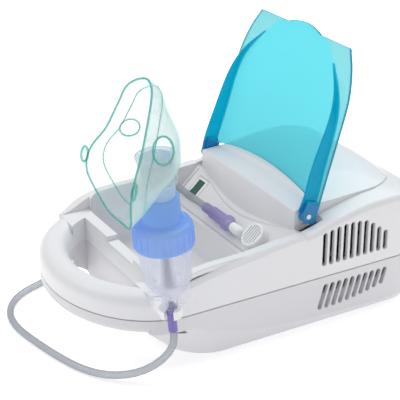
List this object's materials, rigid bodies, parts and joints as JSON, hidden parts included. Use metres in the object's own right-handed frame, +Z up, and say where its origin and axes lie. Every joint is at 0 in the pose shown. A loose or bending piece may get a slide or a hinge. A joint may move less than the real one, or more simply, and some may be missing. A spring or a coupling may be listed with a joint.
{
  "type": "tabletop nebulizer",
  "caption": "Tabletop piston-compressor nebulizer: casing with handle, accessory tray and hinged lid, control panel, air hose, medicine cup with cap, tube and face mask.",
  "frame": {"origin": "on the table under the middle of the whole object's footprint, hose and mask included", "axes": "+Z up; -Y towards the carrying handle; +Y towards the compressor end; +X towards the side that carries the cup"},
  "size_m": [0.2689, 0.3032, 0.23],
  "materials": {
    "casing": "satin off-white",
    "lid": "translucent aqua, glossy",
    "blue_plastic": "translucent light blue",
    "clear_plastic": "clear",
    "soft_clear": "soft clear vinyl",
    "hose": "soft clear vinyl",
    "violet": "satin",
    "lilac": "satin",
    "white_plastic": "satin",
    "green": "gloss",
    "dark_plastic": "matte",
    "felt": "felt",
    "grey_rubber": "matte",
    "steel": "brushed",
    "laminate": "laminated sheet",
    "winding": "varnished wire",
    "alloy": "cast",
    "brass": "plain",
    "seal": "matte"
  },
  "bodies": {
    "casing_body": {"upper_case": "casing", "lower_case": "casing", "rubber_feet": "grey_rubber", "case_screws": "steel", "lid_hinge_pins": "steel", "switch_body": "white_plastic", "filter_felt": "felt", "outlet_nozzle": "white_plastic", "outlet_connector": "lilac", "air_hose": "hose", "cup_holder": "white_plastic", "mains_inlet": "dark_plastic", "wiring": "dark_plastic", "stator_core": "laminate", "stator_coil": "winding", "bearing_brackets": "alloy", "shaft_bushes": "brass", "stator_bolts": "steel", "cylinder": "alloy", "pump_bracket": "steel", "valve_plate": "steel", "reed_valves": "steel", "cylinder_head": "alloy", "head_screws": "steel", "motor_base": "steel", "rubber_mounts": "grey_rubber", "base_screws": "steel", "intake_tube": "hose", "outlet_tube": "hose"},
    "lid_body": {"lid": "lid"},
    "rocker_body": {"power_rocker": "green"},
    "filter_body": {"filter_cap": "white_plastic"},
    "rotor_body": {"rotor": "alloy", "motor_shaft": "steel", "cooling_fan": "dark_plastic", "eccentric": "alloy"},
    "rod_body": {"connecting_rod": "alloy", "piston_seal": "seal"},
    "cup_body": {"nebulizer_cup": "clear_plastic", "cup_connector": "violet", "jet_baffle": "clear_plastic"},
    "cap_body": {"nebulizer_cap": "blue_plastic"},
    "mask_body": {"adapter_tube": "clear_plastic", "face_mask": "soft_clear"}
  },
  "joints": [
    {"name": "lid_hinge", "type": "hinge", "parent": "casing_body", "child": "lid_body", "pos_m": [0, 0.05, 0.09], "axis": [1, 0, 0], "range_deg": [0, 121]},
    {"name": "rocker_pivot", "type": "hinge", "parent": "casing_body", "child": "rocker_body", "pos_m": [-0.056, 0.03011, 0.06507], "axis": [1, 0, 0], "range_deg": [0, 12]},
    {"name": "filter_pull", "type": "slide", "parent": "casing_body", "child": "filter_body", "axis": [0, -0.6755, 0.7374], "range_m": [0, 0.008]},
    {"name": "rotor_spin", "type": "hinge", "parent": "casing_body", "child": "rotor_body", "pos_m": [0, 0.092, 0.038], "axis": [1, 0, 0], "continuous": true},
    {"name": "rod_pin", "type": "hinge", "parent": "rotor_body", "child": "rod_body", "pos_m": [-0.03, 0.092, 0.0405], "axis": [1, 0, 0], "continuous": true},
    {"name": "kit_lift", "type": "slide", "parent": "casing_body", "child": "cup_body", "axis": [0, -0.0854, 0.9963], "range_m": [0, 0.04]},
    {"name": "cap_twist", "type": "hinge", "parent": "cup_body", "child": "cap_body", "pos_m": [0.1, -0.0808, 0.06], "axis": [0, -0.0854, 0.9963], "range_deg": [0, 60]},
    {"name": "mask_swivel", "type": "hinge", "parent": "cap_body", "child": "mask_body", "pos_m": [0.1, -0.0808, 0.06], "axis": [0, -0.0854, 0.9963], "continuous": true}
  ],
  "couplings": [
    {"joint": "rod_pin", "follows": "rotor_spin", "ratio": -1}
  ]
}
